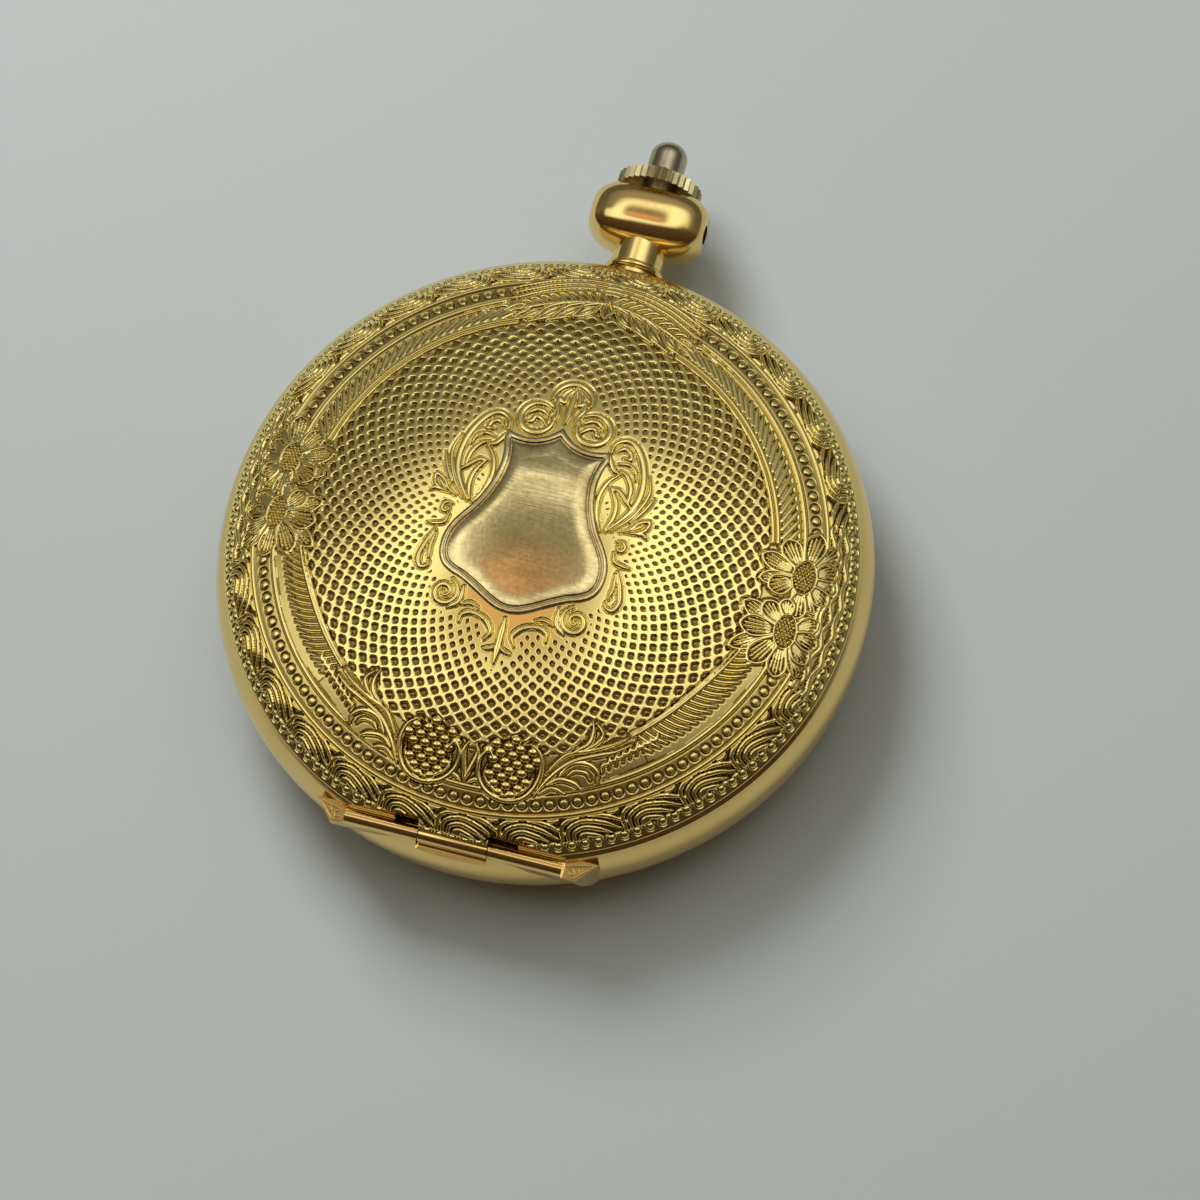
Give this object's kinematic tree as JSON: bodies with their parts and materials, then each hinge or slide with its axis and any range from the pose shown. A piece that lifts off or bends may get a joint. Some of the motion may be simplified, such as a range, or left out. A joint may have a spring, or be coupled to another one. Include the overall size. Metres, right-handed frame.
{
  "type": "pocket watch",
  "caption": "Full hunter pocket watch with engraved hinged lid, applied shield, pendant, push crown, glazed dial and quartz movement.",
  "frame": {"origin": "centre of the flat rest face under the back cover", "axes": "+Z towards the front lid, +Y towards the pendant and crown, +X to the right seen from the lid"},
  "size_m": [0.0482, 0.0598, 0.015],
  "materials": {
    "gold_case": "polished gold plate",
    "gold_lid": "engraved and polished gold plate",
    "gold_inner": "mirror-polished gold plate",
    "shield_metal": "brushed champagne plate",
    "crown_metal": "pale gold plate",
    "nickel": "polished nickel",
    "steel": "turned steel",
    "spring_steel": "blued spring steel",
    "glass": "clear mineral glass",
    "nylon": "white nylon",
    "rubber": "black nitrile",
    "dial_enamel": "cream lacquer",
    "holder": "white plastic",
    "plate_brass": "nickel-plated brass",
    "wheel_brass": "plain brass",
    "magnet": "dark grey",
    "copper": "enamelled copper wire",
    "board": "green laminate",
    "resin": "black resin",
    "film": "amber film",
    "hand_blue": "blued steel"
  },
  "bodies": {
    "case": {"case_middle": "gold_case", "pendant_neck": "gold_case", "pendant_bulb": "gold_case", "crown_sleeve": "steel", "back_cover": "gold_case", "back_gasket": "rubber", "bezel": "gold_case", "crystal": "glass", "crystal_gasket": "nylon", "rehaut_ring": "gold_inner", "dial": "dial_enamel", "movement_ring": "holder", "hinge_pin": "steel", "lid_lift_spring": "spring_steel", "spring_screws": "steel", "yoke": "steel", "main_plate": "plate_brass", "train_bridge": "plate_brass", "bridge_screws": "steel", "battery": "nickel", "battery_clip": "wheel_brass", "battery_screw": "steel", "battery_insulator": "film", "coil": "copper", "stator": "plate_brass", "circuit_board": "board", "quartz_crystal": "nickel", "ic_chip": "resin", "movement_clamps": "steel", "clamp_screws": "steel", "dial_washer": "wheel_brass"},
    "lid": {"front_lid": "gold_lid", "lid_liner": "gold_inner", "lid_shield": "shield_metal"},
    "catch": {"catch_spring": "spring_steel"},
    "clutch": {"clutch_pinion": "steel"},
    "stem": {"stem": "steel"},
    "crown": {"crown": "crown_metal", "crown_tube": "steel", "crown_post": "nickel", "crown_return_spring": "spring_steel"},
    "setting_lever": {"setting_lever": "steel"},
    "seconds": {"fourth_wheel": "wheel_brass", "second_hand": "hand_blue"},
    "rotor": {"rotor": "magnet"},
    "fifth_wheel": {"fifth_wheel": "wheel_brass"},
    "third_wheel": {"third_wheel": "wheel_brass"},
    "minutes": {"centre_wheel": "wheel_brass", "minute_hand": "hand_blue"},
    "minute_wheel": {"minute_wheel": "wheel_brass"},
    "hours": {"hour_wheel": "wheel_brass", "hour_hand": "hand_blue"},
    "setting_wheel": {"setting_wheel": "wheel_brass"}
  },
  "joints": [
    {"name": "lid_hinge", "type": "hinge", "parent": "case", "child": "lid", "pos_m": [0, -0.02252, 0.00822], "axis": [1, 0, 0], "range_deg": [0, 100]},
    {"name": "crown_turn", "type": "hinge", "parent": "case", "child": "clutch", "pos_m": [0, 0, 0.00555], "axis": [0, 1, 0], "continuous": true},
    {"name": "crown_pull", "type": "slide", "parent": "clutch", "child": "stem", "axis": [0, 1, 0], "range_m": [0, 0.001]},
    {"name": "crown_press", "type": "slide", "parent": "stem", "child": "crown", "axis": [0, -1, 0], "range_m": [0, 0.0005], "stiffness_N_per_m": 500, "springref_m": -0.0005},
    {"name": "catch_flex", "type": "hinge", "parent": "case", "child": "catch", "pos_m": [-0.01819, 0.0105, 0.00555], "axis": [0, 0, 1], "range_deg": [-1.7, 0]},
    {"name": "lever_pivot", "type": "hinge", "parent": "case", "child": "setting_lever", "pos_m": [0.0036, 0.00938, 0.00659], "axis": [0, 0, 1], "range_deg": [-16, 0]},
    {"name": "seconds_turn", "type": "hinge", "parent": "case", "child": "seconds", "pos_m": [0, 0, 0.0052], "axis": [0, 0, -1], "continuous": true},
    {"name": "rotor_turn", "type": "hinge", "parent": "case", "child": "rotor", "pos_m": [0.00338, -0.00401, 0.0052], "axis": [0, 0, -1], "continuous": true},
    {"name": "fifth_turn", "type": "hinge", "parent": "case", "child": "fifth_wheel", "pos_m": [0.00273, -0.00158, 0.0052], "axis": [0, 0, -1], "continuous": true},
    {"name": "third_turn", "type": "hinge", "parent": "case", "child": "third_wheel", "pos_m": [-0.00236, 0.00136, 0.0052], "axis": [0, 0, -1], "continuous": true},
    {"name": "minutes_turn", "type": "hinge", "parent": "case", "child": "minutes", "pos_m": [0, 0, 0.0052], "axis": [0, 0, -1], "continuous": true},
    {"name": "minute_wheel_turn", "type": "hinge", "parent": "case", "child": "minute_wheel", "pos_m": [0.00144, 0.00249, 0.0052], "axis": [0, 0, -1], "continuous": true},
    {"name": "hours_turn", "type": "hinge", "parent": "case", "child": "hours", "pos_m": [0, 0, 0.0052], "axis": [0, 0, -1], "continuous": true},
    {"name": "setting_wheel_turn", "type": "hinge", "parent": "case", "child": "setting_wheel", "pos_m": [0, 0.00513, 0.0052], "axis": [0, 0, -1], "continuous": true}
  ],
  "couplings": [
    {"joint": "catch_flex", "follows": "crown_press", "rad_per_m": -54.986},
    {"joint": "lever_pivot", "follows": "crown_pull", "rad_per_m": -277.78},
    {"joint": "rotor_turn", "follows": "seconds_turn", "ratio": 30},
    {"joint": "fifth_turn", "follows": "seconds_turn", "ratio": -6},
    {"joint": "third_turn", "follows": "seconds_turn", "ratio": -0.13333},
    {"joint": "minutes_turn", "follows": "seconds_turn", "ratio": 0.016667},
    {"joint": "minute_wheel_turn", "follows": "seconds_turn", "ratio": -0.0055556},
    {"joint": "hours_turn", "follows": "seconds_turn", "ratio": 0.0013889},
    {"joint": "setting_wheel_turn", "follows": "seconds_turn", "ratio": 0.014286}
  ]
}
